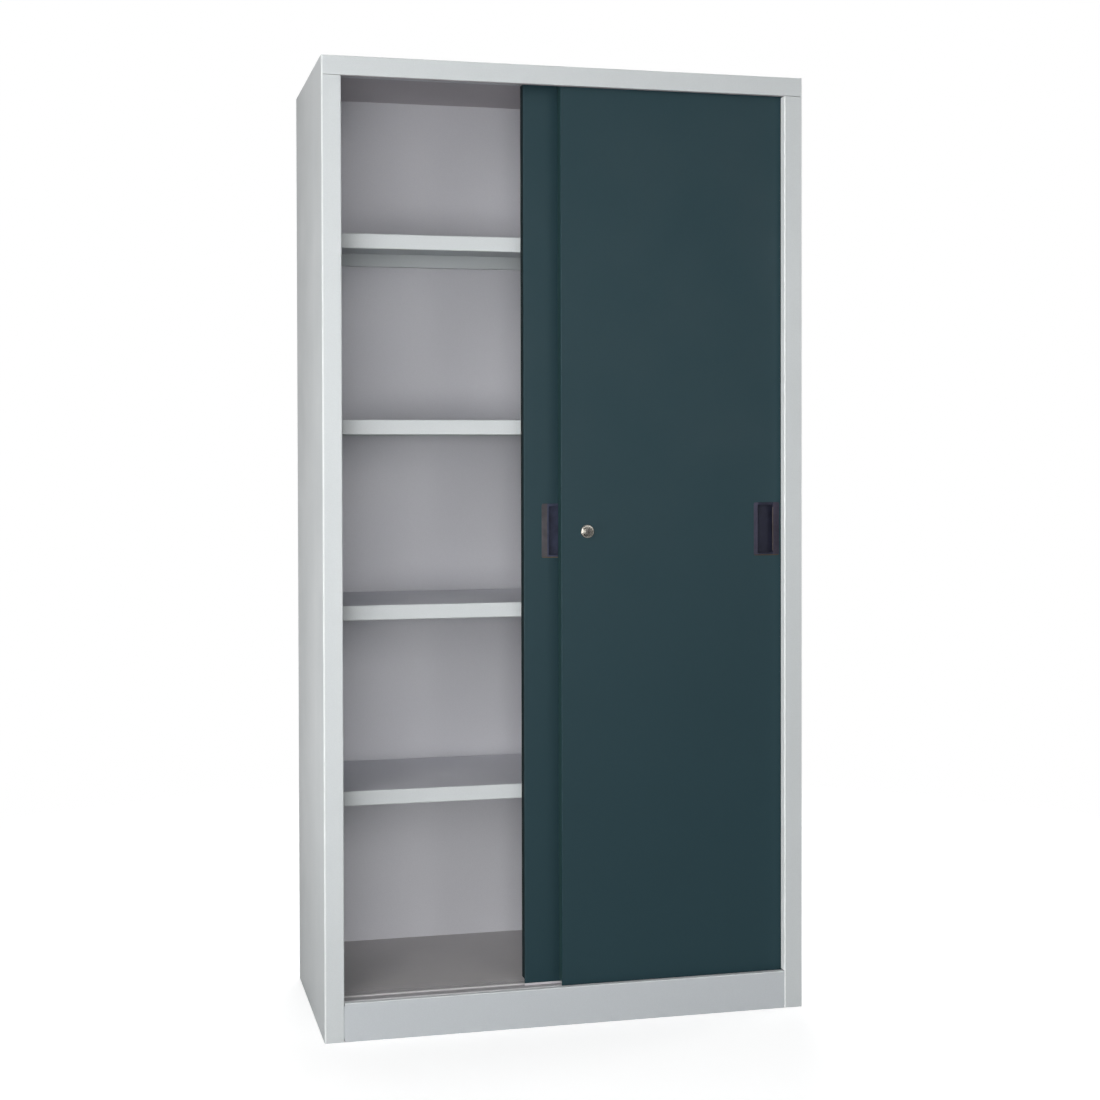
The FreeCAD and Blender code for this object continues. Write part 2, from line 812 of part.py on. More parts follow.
def door_panel(door):
    """Folded pan: face sheet with a skirt below, four flanges and rear lips."""
    body = new_body(door.label("door_panel"), door.x, door.y)
    width = door.width
    face = rectangle("0", "door_bottom", width, "door_top")
    prism(body, "face", "XZ", [face], "0", "gauge")
    side_flange = [
        ("0", "door_bottom"),
        ("skirt_edge", "door_bottom"),
        ("skirt_edge", "pan_bottom"),
        ("door_depth", "pan_bottom"),
        ("door_depth", "door_top"),
        ("0", "door_top"),
    ]
    prism(body, "left_flange", "YZ", [side_flange], "0", "gauge")
    prism(body, "right_flange", "YZ", [side_flange], f"{width} - gauge", "gauge")
    flange = rectangle("0", "0", width, "door_depth")
    prism(body, "lower_flange", "XY", [flange], "pan_bottom", "gauge")
    prism(body, "upper_flange", "XY", [flange], "door_top - gauge", "gauge")
    lips = [
        rectangle("0", "pan_bottom", width, "door_top"),
        rectangle("door_lip", "pan_bottom + door_lip", f"{width} - door_lip", "door_top - door_lip"),
    ]
    prism(body, "lips", "XZ", lips, "door_depth - gauge", "gauge")
    bends = [{"x": "0", "y": "0"}, {"x": width, "y": "0"}]
    soften(body, "Fillet", "bends", bends, "bend")
    half = "roller_opening / 2"
    roller_openings = [
        rectangle(f"{along} - {half}", "gauge", f"{along} + {half}", "door_depth - gauge")
        for end, along in runner_ends(door)
    ]
    cut(body, "roller_openings", "XY", roller_openings, "pan_bottom", "gauge")
    low, high = mirrored_span(door.pull_side, "(recess_inner + pull_wall)",
                              "(recess_outer + grip_reach + pull_wall)")
    openings = [rectangle(
        f"{door.pull_x()} + {low}", "pull_centre - recess_half_height - pull_wall",
        f"{door.pull_x()} + {high}", "pull_centre + recess_half_height + pull_wall"
    )]
    if door is FRONT_DOOR:
        openings.append(round_hole(LOCK_ALONG, "lock_height", "barrel_radius"))
    cut(body, "openings", "XZ", openings, "0", "gauge")
    return body


def stiffener(door):
    """Hat section down the middle of the pan."""
    body = new_body(door.label("door_stiffener"), door.x, door.y)
    profile = hat(f"{door.width} / 2", "stiffener_crown", "stiffener_foot", "stiffener_rise", "gauge")
    prism(body, "hat_section", "XY", [profile], "pan_bottom + stiffener_end",
          "door_top - pan_bottom - 2 * stiffener_end")
    return body


def pull(door):
    """Recessed pull: a thin frame on the door's face and a tub with an undercut grip."""
    body = new_body(door.label("pull"), door.across(door.pull_x()), door.y, "pull_centre")
    side = door.pull_side
    frame = rectangle("-pull_width / 2", "-pull_height / 2", "pull_width / 2", "pull_height / 2")
    prism(body, "frame", "XZ", [frame], "-pull_proud", "pull_proud")
    corners = [
        {"x": f"{across} * pull_width / 2", "z": f"{up} * pull_height / 2"}
        for across in (-1, 1) for up in (-1, 1)
    ]
    soften(body, "Fillet", "frame_corners", corners, "pull_corner")
    low, high = mirrored_span(side, "(recess_inner + pull_wall)", "(recess_outer + grip_reach + pull_wall)")
    half = "(recess_half_height + pull_wall)"
    prism(body, "tub", "XZ", [rectangle(low, f"-{half}", high, half)], "0", "recess_depth + pull_wall")
    low, high = mirrored_span(side, "recess_inner", "recess_outer")
    recess = rectangle(low, "-recess_half_height", high, "recess_half_height")
    cut(body, "recess", "XZ", [recess], "-pull_proud", "recess_depth + pull_proud")
    low, high = mirrored_span(side, "recess_inner", "(recess_outer + grip_reach)")
    grip = rectangle(low, "-grip_half_height", high, "grip_half_height")
    cut(body, "grip", "XZ", [grip], "grip_cover", "recess_depth - grip_cover")
    low, high = mirrored_span(side, "(-recess_outer - grip_ridge)", "(recess_outer + grip_ridge + grip_band)")
    band = rectangle(low, "-grip_ridge_half_height", high, "grip_ridge_half_height")
    cut(body, "grip_band", "XZ", [band], "-pull_proud", "grip_band_drop")
    bevel = [{"x": f"{-side} * recess_inner", "y": "-pull_proud"}]
    soften(body, "Chamfer", "thumb_bevel", bevel, "pull_bevel")
    outline = [
        {"x": "pull_width / 2", "y": "-pull_proud"},
        {"x": "-pull_width / 2", "y": "-pull_proud"},
        {"z": "pull_height / 2", "y": "-pull_proud"},
        {"z": "-pull_height / 2", "y": "-pull_proud"},
    ]
    soften(body, "Chamfer", "frame_edge", outline, "pull_chamfer")
    return body


def runner_ends(door):
    """Places along a door where its rollers and guide shoes sit."""
    return (("left", "roller_from_edge"), ("right", f"({door.width} - roller_from_edge)"))


def roller_frame(door, along):
    """Placement of a roller, its axle and its bracket: the middle of the axle."""
    return door.across(along), f"{door.y} + door_depth / 2", AXLE_HEIGHT


def roller(door, end, along):
    """Nylon wheel with a groove that straddles the rib."""
    body = new_body(door.label(f"{end}_roller"), *roller_frame(door, along))
    bore = "axle_radius + running_gap"
    half = "roller_width / 2"
    groove = "roller_groove / 2"
    profile = [
        (bore, f"-{half}"),
        ("roller_flange_radius", f"-{half}"),
        ("roller_flange_radius", f"-{groove} - roller_slope"),
        ("roller_tread_radius", f"-{groove}"),
        ("roller_tread_radius", groove),
        ("roller_flange_radius", f"{groove} + roller_slope"),
        ("roller_flange_radius", half),
        (bore, half),
    ]
    turned(body, "wheel", profile)
    return body


def roller_bracket(door, end, along):
    """Cover over the roller with two ears that hold the axle and a foot at each end."""
    body = new_body(door.label(f"{end}_roller_bracket"), *roller_frame(door, along))
    inner = "(roller_width / 2 + bracket_clear)"
    outer = "(roller_width / 2 + bracket_clear + bracket_gauge)"
    half = "(bracket_length / 2)"
    top = "bracket_above"
    seat = f"(pan_bottom + gauge - {AXLE_HEIGHT})"
    channel = [
        (f"-{outer}", "-bracket_below"),
        (f"-{outer}", top),
        (outer, top),
        (outer, "-bracket_below"),
        (inner, "-bracket_below"),
        (inner, f"{top} - bracket_gauge"),
        (f"-{inner}", f"{top} - bracket_gauge"),
        (f"-{inner}", "-bracket_below"),
    ]
    prism(body, "channel", "YZ", [channel], f"-{half}", "bracket_length")
    feet = [
        (f"-{half} - bracket_foot", seat),
        (f"bracket_gauge - {half}", seat),
        (f"bracket_gauge - {half}", top),
        (f"-{half}", top),
        (f"-{half}", f"{seat} + bracket_gauge"),
        (f"-{half} - bracket_foot", f"{seat} + bracket_gauge"),
    ]
    mirrored_feet = [(f"-({x})", z) for x, z in feet]
    prism(body, "feet", "XZ", [feet, mirrored_feet], f"-{outer}", f"2 * {outer}")
    corners = [{"x": f"{sign} * bracket_length / 2", "z": "-bracket_below"} for sign in (-1, 1)]
    soften(body, "Fillet", "ear_corners", corners, "bracket_round")
    hole = [round_hole("0", "0", "axle_radius")]
    cut(body, "axle_holes", "XZ", hole, f"-{outer} - 1", f"2 * {outer} + 2")
    return body


def roller_axle(door, end, along):
    """Headed pin through the bracket's ears."""
    body = new_body(door.label(f"{end}_roller_axle"), *roller_frame(door, along))
    ear = "(roller_width / 2 + bracket_clear + bracket_gauge)"
    profile = [
        ("0", f"-{ear} - axle_head"),
        ("axle_head_radius", f"-{ear} - axle_head"),
        ("axle_head_radius", f"-{ear}"),
        ("axle_radius", f"-{ear}"),
        ("axle_radius", ear),
        ("axle_head_radius", ear),
        ("axle_head_radius", f"{ear} + axle_head"),
        ("0", f"{ear} + axle_head"),
    ]
    turned(body, "pin", profile)
    return body


def guide_shoe(door, end, along):
    """Nylon block on the pan's upper flange that runs in the top track."""
    body = new_body(door.label(f"{end}_guide"), door.across(along), f"{door.y} + door_depth / 2", "door_top")
    half = "shoe_width / 2"
    foot = rectangle("-shoe_foot_length / 2", f"-{half}", "shoe_foot_length / 2", half)
    prism(body, "foot", "XY", [foot], "0", "shoe_foot_height")
    block = rectangle("-shoe_length / 2", f"-{half}", "shoe_length / 2", half)
    prism(body, "block", "XY", [block], "0", "shoe_height")
    crest = [
        {"y": half, "z": "shoe_height"},
        {"y": f"-{half}", "z": "shoe_height"},
        {"x": "shoe_length / 2", "z": "shoe_height"},
        {"x": "-shoe_length / 2", "z": "shoe_height"},
    ]
    soften(body, "Chamfer", "crest", crest, "shoe_chamfer")
    return body


# ---------------------------------------------------------------------------
# Lock
# ---------------------------------------------------------------------------

LOCK_PLACE = (FRONT_DOOR.across(LOCK_ALONG), FRONT_DOOR.y, "lock_height")


def lock_housing():
    """Round bezel and barrel that hold the push cylinder."""
    body = new_body("lock_housing", *LOCK_PLACE)
    bore = "plunger_radius + running_gap"
    profile = [
        (bore, "-bezel_rise"),
        ("bezel_radius", "-bezel_rise"),
        ("bezel_radius", "0"),
        ("barrel_radius", "0"),
        ("barrel_radius", "door_depth"),
        ("bolt_radius + running_gap", "door_depth"),
        ("bolt_radius + running_gap", "door_depth - barrel_end_wall"),
        (bore, "door_depth - barrel_end_wall"),
    ]
    turned(body, "barrel", profile)
    round_rim(body, "bezel_dome", "bezel_radius", "-bezel_rise", "bezel_round")
    return body


def lock_nut():
    """Hexagonal nut that clamps the housing to the door's face from behind."""
    body = new_body("lock_nut", *LOCK_PLACE)
    corners = [
        (f"{cosine} * nut_corner", f"{sine} * nut_corner")
        for cosine, sine in ((1, 0), (0.5, 0.866), (-0.5, 0.866), (-1, 0), (-0.5, -0.866), (0.5, -0.866))
    ]
    loops = [corners, round_hole("0", "0", "barrel_radius")]
    prism(body, "hexagon", "XZ", loops, "gauge", "nut_thickness")
    return body


def lock_plunger():
    """Push cylinder: the front part shows, and the bolt behind it reaches the other door."""
    body = new_body("lock_plunger", *LOCK_PLACE)
    seat = "plug_radius + running_gap"
    profile = [
        (seat, "-plunger_proud"),
        ("plunger_radius", "-plunger_proud"),
        ("plunger_radius", "plunger_shoulder"),
        ("bolt_radius", "plunger_shoulder"),
        ("bolt_radius", "door_depth"),
        ("0", "door_depth"),
        ("0", "plug_length - plunger_proud + running_gap"),
        (seat, "plug_length - plunger_proud + running_gap"),
    ]
    turned(body, "cylinder", profile)
    round_rim(body, "nose", "plunger_radius", "-plunger_proud", "plunger_round")
    return body


def lock_plug():
    """Core that the key turns."""
    body = new_body("lock_plug", *LOCK_PLACE)
    profile = [
        ("0", "-plunger_proud"),
        ("plug_radius", "-plunger_proud"),
        ("plug_radius", "plug_length - plunger_proud"),
        ("0", "plug_length - plunger_proud"),
    ]
    turned(body, "core", profile)
    keyway = rectangle("-keyway_width / 2", "-keyway_height / 2", "keyway_width / 2", "keyway_height / 2")
    cut(body, "keyway", "XZ", [keyway], "-plunger_proud", "keyway_depth")
    return body


def lock_spring():
    """Coil around the bolt, between the plunger's shoulder and the barrel's end wall."""
    wire = value("spring_wire")
    radius = value("spring_radius")
    start = value("plunger_shoulder + 2 * spring_wire")
    stop = value("door_depth - barrel_end_wall - 2 * spring_wire")
    length = stop - start
    helix = Part.makeHelix(length / value("spring_turns"), length, radius)
    section = Part.Wire(Part.makeCircle(wire, FreeCAD.Vector(radius, 0, 0), FreeCAD.Vector(0, 1, 0)))
    coil = Part.Wire(helix).makePipeShell([section], True, True)
    spring = doc.addObject("Part::Feature", "lock_spring")
    spring.Label = "lock_spring"
    spring.Shape = coil
    place_of_lock = [value(text) for text in LOCK_PLACE]
    base = FreeCAD.Vector(*place_of_lock) + FreeCAD.Vector(0, start, 0)
    spring.Placement = FreeCAD.Placement(base, FreeCAD.Rotation(FreeCAD.Vector(1, 0, 0), -90))
    return spring


def lock_strike():
    """Raised keeper on the rear door; its hole faces the bolt when both doors are shut."""
    body = new_body("lock_strike", REAR_DOOR.across(STRIKE_ALONG), REAR_DOOR.y, "lock_height")
    profile = hat("0", "strike_crown", "strike_foot", "strike_rise", "0", -1)
    prism(body, "saddle", "XY", [profile], "-strike_height / 2", "strike_height")
    hole = [round_hole("0", "0", "strike_hole_radius")]
    cut(body, "bolt_hole", "XZ", hole, "-strike_rise", "gauge")
    return body


# ---------------------------------------------------------------------------
# Assembly
# ---------------------------------------------------------------------------

def build_carcass():
    nodes = [
        side_panel("left_side_panel", -1),
        side_panel("right_side_panel", 1),
        top_panel(),
        back_panel(),
        back_rivets(),
        plinth(),
        floor_panel(),
        floor_bracket("left_floor_bracket", -1),
        floor_bracket("right_floor_bracket", 1),
        bottom_track(),
        top_track(),
        upright("left_front_upright", -1, "front_upright"),
        upright("left_rear_upright", -1, "rear_upright"),
        upright("right_front_upright", 1, "front_upright"),
        upright("right_rear_upright", 1, "rear_upright"),
    ]
    nodes += [shelf(index) for index in range(SHELF_COUNT)]
    return nodes + [shelf_clips(), door_bumpers()]


def build_door(door):
    nodes = [door_panel(door), stiffener(door), pull(door)]
    for end, along in runner_ends(door):
        for piece in (roller, roller_bracket, roller_axle, guide_shoe):
            nodes.append(piece(door, end, along))
    return nodes


def build_lock():
    return [lock_housing(), lock_nut(), lock_plunger(), lock_plug(), lock_spring(), lock_strike()]


def check(nodes):
    """Stop if any object failed to build or any piece is not a sound solid."""
    for item in doc.Objects:
        if "Invalid" in item.State or "Error" in item.State:
            raise RuntimeError(f"{item.Label} is {item.State}")
    for node in nodes:
        if node.Shape.isNull() or not node.Shape.isValid() or not node.Shape.Solids:
            raise RuntimeError(f"{node.Label} has no sound solid")


nodes = build_carcass() + build_door(REAR_DOOR) + build_door(FRONT_DOOR) + build_lock()
doc.recompute()
check(nodes)
os.makedirs("parts", exist_ok=True)
for node in nodes:
    node.Shape.exportStep(f"parts/{node.Label}.step")
    box = node.Shape.BoundBox
    print(
        f"{node.Label:28s} solids {len(node.Shape.Solids):2d} volume {node.Shape.Volume:12.1f}",
        f"x {box.XMin:8.2f} {box.XMax:8.2f} y {box.YMin:8.2f} {box.YMax:8.2f}",
        f"z {box.ZMin:8.2f} {box.ZMax:8.2f}",
    )
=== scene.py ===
"""Looks of the sliding door cabinet: powder coat, plastic, nylon, zinc and nickel, in a pale studio."""
import math

import bmesh
import bpy
from mathutils import Matrix, Vector


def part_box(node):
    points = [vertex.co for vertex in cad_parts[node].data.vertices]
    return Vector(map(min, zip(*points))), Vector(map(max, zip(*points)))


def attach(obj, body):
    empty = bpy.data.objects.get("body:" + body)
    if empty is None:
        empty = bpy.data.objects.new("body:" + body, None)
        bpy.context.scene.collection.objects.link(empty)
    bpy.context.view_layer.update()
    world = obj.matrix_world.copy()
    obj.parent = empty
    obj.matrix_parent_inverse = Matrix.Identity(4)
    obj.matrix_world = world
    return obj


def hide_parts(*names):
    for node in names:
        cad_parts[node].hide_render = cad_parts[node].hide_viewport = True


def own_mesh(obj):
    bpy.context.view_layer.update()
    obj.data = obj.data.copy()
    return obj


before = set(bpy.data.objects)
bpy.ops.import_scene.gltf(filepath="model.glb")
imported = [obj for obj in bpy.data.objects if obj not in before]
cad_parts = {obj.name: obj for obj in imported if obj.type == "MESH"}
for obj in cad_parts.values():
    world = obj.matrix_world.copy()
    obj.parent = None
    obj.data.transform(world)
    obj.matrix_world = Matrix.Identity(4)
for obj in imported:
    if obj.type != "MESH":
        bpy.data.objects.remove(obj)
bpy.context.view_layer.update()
scene = bpy.context.scene


# ---------------------------------------------------------------------------
# Shader helpers
# ---------------------------------------------------------------------------

class Tree:
    """Shorthands for the nodes that the materials and the studio both use."""

    def __init__(self, tree):
        self.tree = tree

    def node(self, kind, **settings):
        made = self.tree.nodes.new(kind)
        for key, setting in settings.items():
            setattr(made, key, setting)
        return made

    def link(self, source, target):
        self.tree.links.new(source, target)

    def span(self, source, low, high, to_low=0.0, to_high=1.0):
        """Map a value from one range to another, clamped."""
        span = self.node("ShaderNodeMapRange")
        ends = (("From Min", low), ("From Max", high), ("To Min", to_low), ("To Max", to_high))
        for name, number in ends:
            span.inputs[name].default_value = number
        self.link(source, span.inputs["Value"])
        return span.outputs["Result"]

    def math(self, operation, first, second):
        """Sum, product or the like of two operands; each is a number or a socket."""
        node = self.node("ShaderNodeMath", operation=operation)
        for socket, operand in zip(node.inputs, (first, second)):
            if isinstance(operand, (int, float)):
                socket.default_value = operand
            else:
                self.link(operand, socket)
        return node.outputs["Value"]


class Shader(Tree):
    """A material's node tree with a Principled shader."""

    def __init__(self, name):
        self.material = bpy.data.materials.new(name)
        self.material.use_nodes = True
        super().__init__(self.material.node_tree)
        self.shader = self.tree.nodes["Principled BSDF"]
        self.place = self.node("ShaderNodeTexCoord").outputs["Object"]
        self.relief = None

    def stretched(self, scale):
        """Object coordinates multiplied axis by axis."""
        mapping = self.node("ShaderNodeMapping")
        mapping.inputs["Scale"].default_value = scale
        self.link(self.place, mapping.inputs["Vector"])
        return mapping.outputs["Vector"]

    def noise(self, scale, detail=2.0, roughness=0.5, vector=None):
        noise = self.node("ShaderNodeTexNoise")
        noise.inputs["Scale"].default_value = scale
        noise.inputs["Detail"].default_value = detail
        noise.inputs["Roughness"].default_value = roughness
        self.link(vector or self.place, noise.inputs["Vector"])
        return noise.outputs["Fac"]

    def mix(self, factor, first, second):
        """Blend of two colours; either may be a socket."""
        node = self.node("ShaderNodeMix", data_type="RGBA")
        self.link(factor, node.inputs["Factor"])
        for socket, colour in ((node.inputs[6], first), (node.inputs[7], second)):
            if isinstance(colour, tuple):
                socket.default_value = (*colour, 1.0)
            else:
                self.link(colour, socket)
        return node.outputs[2]

    def scaled(self, colour, factor):
        """A colour, or a socket that gives one, times a number."""
        node = self.node("ShaderNodeVectorMath", operation="SCALE")
        if isinstance(colour, tuple):
            node.inputs[0].default_value = colour
        else:
            self.link(colour, node.inputs[0])
        self.link(factor, node.inputs["Scale"])
        return node.outputs["Vector"]

    def within(self, soft=0.0004, **ranges):
        """1 inside a box of object coordinates and 0 outside; an end that is None is open."""
        split = self.node("ShaderNodeSeparateXYZ")
        self.link(self.place, split.inputs["Vector"])
        inside = None
        for axis, (low, high) in ranges.items():
            place = split.outputs[axis.upper()]
            for end, outward, inward in ((low, 0.0, 1.0), (high, 1.0, 0.0)):
                if end is None:
                    continue
                step = self.span(place, end - soft, end + soft, outward, inward)
                inside = step if inside is None else self.math("MULTIPLY", inside, step)
        return inside

    def patched(self, colour, patches):
        """Base colour with other colours inside boxes of object coordinates."""
        for box, patch in patches:
            colour = self.mix(self.within(**box), colour, patch)
        return colour

    def bump(self, height, distance, strength):
        """Add a layer of relief on top of the ones before it."""
        bump = self.node("ShaderNodeBump")
        bump.inputs["Strength"].default_value = strength
        bump.inputs["Distance"].default_value = distance
        self.link(height, bump.inputs["Height"])
        if self.relief is not None:
            self.link(self.relief, bump.inputs["Normal"])
        self.relief = bump.outputs["Normal"]
        self.link(self.relief, self.shader.inputs["Normal"])

    def colour(self, socket):
        self.link(socket, self.shader.inputs["Base Color"])

    def roughness(self, socket):
        self.link(socket, self.shader.inputs["Roughness"])

    def fixed(self, **settings):
        for name, number in settings.items():
            self.shader.inputs[name.replace("_", " ")].default_value = number


def shade(colour, factor):
    return tuple(channel * factor for channel in colour)


# ---------------------------------------------------------------------------
# Materials
# ---------------------------------------------------------------------------

# Finishes of powder coat: roughness, specular level and strength of the speckle.
OUTSIDE = (0.42, 0.35, 0.05)
INSIDE = (0.46, 0.30, 0.05)
DOOR = (0.50, 0.22, 0.08)


def powder_coat(name, colour, finish, patches=(), dull=None):
    """Sprayed powder: soft mottling, a fine speckle and an orange peel relief.

    patches are pairs of a box and the colour inside it; dull is a box without gloss.
    """
    roughness, specular, grain = finish
    paint = Shader(name)
    cloud = paint.span(paint.noise(2.2, 3.0), 0.35, 0.65, 0.985, 1.015)
    speckle = paint.span(paint.noise(900.0, 1.0), 0.35, 0.7, 1 - grain / 2, 1 + grain / 2)
    paint.colour(paint.scaled(paint.patched(colour, patches), paint.math("MULTIPLY", cloud, speckle)))
    worn = paint.span(paint.noise(6.0, 4.0, 0.6), 0.3, 0.7, roughness - 0.05, roughness + 0.06)
    if dull:
        worn = paint.math("MAXIMUM", worn, paint.within(**dull))
    paint.roughness(worn)
    paint.bump(paint.noise(420.0, 2.0, 0.55), 0.00022, 0.5)
    paint.bump(paint.noise(1500.0, 1.0), 0.00006, 0.4)
    paint.fixed(Specular_IOR_Level=specular)
    return paint.material


def moulded(name, colour, roughness, lighter, patches=(), specular=0.5):
    """Injection-moulded plastic with a fine spark-eroded grain, in places up to lighter times as light."""
    plastic = Shader(name)
    cloud = plastic.span(plastic.noise(40.0, 3.0), 0.35, 0.65, 1.0, lighter)
    plastic.colour(plastic.scaled(plastic.patched(colour, patches), cloud))
    plastic.roughness(plastic.span(plastic.noise(60.0, 3.0), 0.3, 0.7, roughness - 0.06, roughness + 0.08))
    plastic.bump(plastic.noise(2400.0, 2.0), 0.00005, 0.5)
    plastic.fixed(Specular_IOR_Level=specular)
    return plastic.material


def metal(name, colour, roughness, stretch, spangle=0.0, patches=(), metallic=1.0):
    """Bare, plated or anodised metal: fine lines along one axis and, on zinc, faint crystals."""
    bare = Shader(name)
    lines = bare.noise(1.0, 3.0, 0.6, bare.stretched(stretch))
    base = bare.scaled(bare.patched(colour, patches), bare.span(lines, 0.3, 0.7, 0.9, 1.0))
    if spangle:
        crystal = bare.node("ShaderNodeTexVoronoi")
        crystal.inputs["Scale"].default_value = 160.0
        bare.link(bare.place, crystal.inputs["Vector"])
        split = bare.node("ShaderNodeSeparateColor")
        bare.link(crystal.outputs["Color"], split.inputs["Color"])
        tone = bare.span(split.outputs[0], 0.0, 1.0, 0.0, spangle)
        base = bare.mix(tone, base, shade(colour, 0.7))
    bare.colour(base)
    bare.roughness(bare.span(lines, 0.3, 0.7, roughness - 0.06, roughness + 0.08))
    bare.bump(lines, 0.00003, 0.4)
    bare.fixed(Metallic=metallic)
    return bare.material


# Linear colours. The carcass is light grey, with other tones of it in places: painted highlights on the bends
# and on the right post's return; painted shade to the rear of the left side, under the top, on the plinth, on
# the floor and its step, and at the shelves' left ends; painted light on the shelf tops and low on the back.
GREY = (0.60, 0.63, 0.64)
# Painted shade: the left side darkens softly towards its rear.
SIDE_REAR_PAINTED_SHADE = shade(GREY, 0.80)
# Painted highlight along the left post's front-left bend.
POST_BEND_HIGHLIGHT = (0.76, 0.79, 0.79)
# Painted highlight, nearly white, on the right post's return and the edge of its bend.
POST_RETURN_HIGHLIGHT = (0.97, 1.0, 1.0)
# Painted shade on the underside of the top.
CEILING_PAINTED_SHADE = (0.50, 0.47, 0.49)
# The plinth's grey, darker than the carcass's, is painted shade low down.
PLINTH = (0.545, 0.575, 0.60)
# Painted highlight along the plinth's top bend.
PLINTH_BEND_HIGHLIGHT = (0.70, 0.73, 0.74)
UPRIGHT = shade(GREY, 0.98)
BACK = (0.60, 0.60, 0.635)
# Painted light: the back is lighter low down, with a soft edge.
BACK_LOW_PAINTED_LIGHT = shade(BACK, 1.12)
SHELF = shade(GREY, 1.02)
# Painted shadow at the shelves' left ends.
SHELF_END_PAINTED_SHADOW = shade(GREY, 0.80)
# Painted light on the shelf tops.
SHELF_TOP_PAINTED_LIGHT = (0.74, 0.74, 0.79)
# The floor panel's grey, darker than the carcass's, is painted shade.
FLOOR = (0.56, 0.54, 0.54)
# Painted shade, darker still, on the floor's step behind the track.
FLOOR_STEP_PAINTED_SHADE = (0.25, 0.245, 0.25)
# The doors are teal; the flange at the rear door's left edge is painted shade, nearly black, and the front
# door's is painted light, a little lighter and greyer than the face.
TEAL = (0.014, 0.040, 0.050)
REAR_FLANGE_PAINTED_SHADE = (0.004, 0.012, 0.014)
FRONT_FLANGE_PAINTED_LIGHT = (0.019, 0.051, 0.053)
TRACK = (0.56, 0.54, 0.56)
# Painted highlights on the crests of the track's ribs; the front rib's is brighter.
REAR_CREST_HIGHLIGHT = (0.66, 0.65, 0.66)
FRONT_CREST_HIGHLIGHT = (0.95, 0.95, 0.96)
TRIM = (0.60, 0.58, 0.61)
# The pulls are one dark plastic; the rear pull's tone is lighter, as painted light in its shaded recess.
FRONT_PULL = (0.012, 0.013, 0.026)
# Painted light on the pulls' flat lips.
FRONT_PULL_LIP_PAINTED_LIGHT = (0.034, 0.033, 0.053)
FRONT_PULL_SILL = (0.041, 0.029, 0.016)
REAR_PULL_PAINTED_LIGHT = (0.029, 0.034, 0.060)
REAR_PULL_LIP_PAINTED_LIGHT = (0.048, 0.045, 0.050)
REAR_PULL_SILL = (0.075, 0.055, 0.032)
# Painted light on the frame beside the grip, and a painted highlight on the ridge at its edge.
PULL_FRAME_PAINTED_LIGHT = (0.024, 0.021, 0.034)
PULL_RIDGE_HIGHLIGHT = (0.085, 0.068, 0.060)

BOX = {name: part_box(name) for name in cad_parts}


def pull_patches(name, lip, frame_side, ridge, lip_tone, sill_tone):
    """Tones of a pull's frame: painted light on the lip and on the frame beside the grip, a painted highlight
    on the ridge at the grip's edge, and a brownish band along the sill; lip, frame_side and ridge are spans
    of x from the pull's middle.
    """
    bar, sill_height = 0.010, 0.0020
    low, high = BOX[name]
    middle = (low[0] + high[0]) / 2
    lip, frame_side, ridge = (
        span and (middle + span[0], middle + span[1]) for span in (lip, frame_side, ridge)
    )
    front = (None, low[1] + 0.0015)
    patches = [({"x": frame_side, "y": front}, PULL_FRAME_PAINTED_LIGHT)]
    if ridge:
        between_bars = (low[2] + bar, high[2] - bar)
        patches.append(({"x": ridge, "y": front, "z": between_bars}, PULL_RIDGE_HIGHLIGHT))
    patches.append(({"x": lip, "y": front}, lip_tone))
    patches.append(({"y": front, "z": (None, low[2] + sill_height)}, sill_tone))
    return patches


def left_flange(panel):
    """Box round the flange at a door's left edge, behind its face."""
    low = BOX[panel][0]
    return {"x": (None, low[0] + 0.0012), "y": (low[1] + 0.0015, None)}


def shelf_coat(name):
    """Paint of a shelf: painted shadow towards the left end, where the left post shades it, and painted light
    on top behind the front bend.
    """
    low, high = BOX[name]
    return powder_coat(f"{name}_coat", SHELF, INSIDE, (
        ({"soft": 0.09, "x": (None, low[0] + 0.06)}, SHELF_END_PAINTED_SHADOW),
        ({"y": (low[1] + 0.0025, None), "z": (high[2] - 0.0005, None)}, SHELF_TOP_PAINTED_LIGHT),
    ))


left_low = BOX["left_side_panel"][0]
right_low = BOX["right_side_panel"][0]
top_high = BOX["top_panel"][1]
plinth_high = BOX["plinth"][1]
track_low, track_high = BOX["bottom_track"]
between_ribs = track_low[1] + 0.0350
# The crests' bright tones are painted highlights.
rear_highlight_start = track_high[2] - 0.0023    # lower end of the bright crest on the rear rib
front_highlight_start = track_high[2] - 0.0012   # the same on the front rib

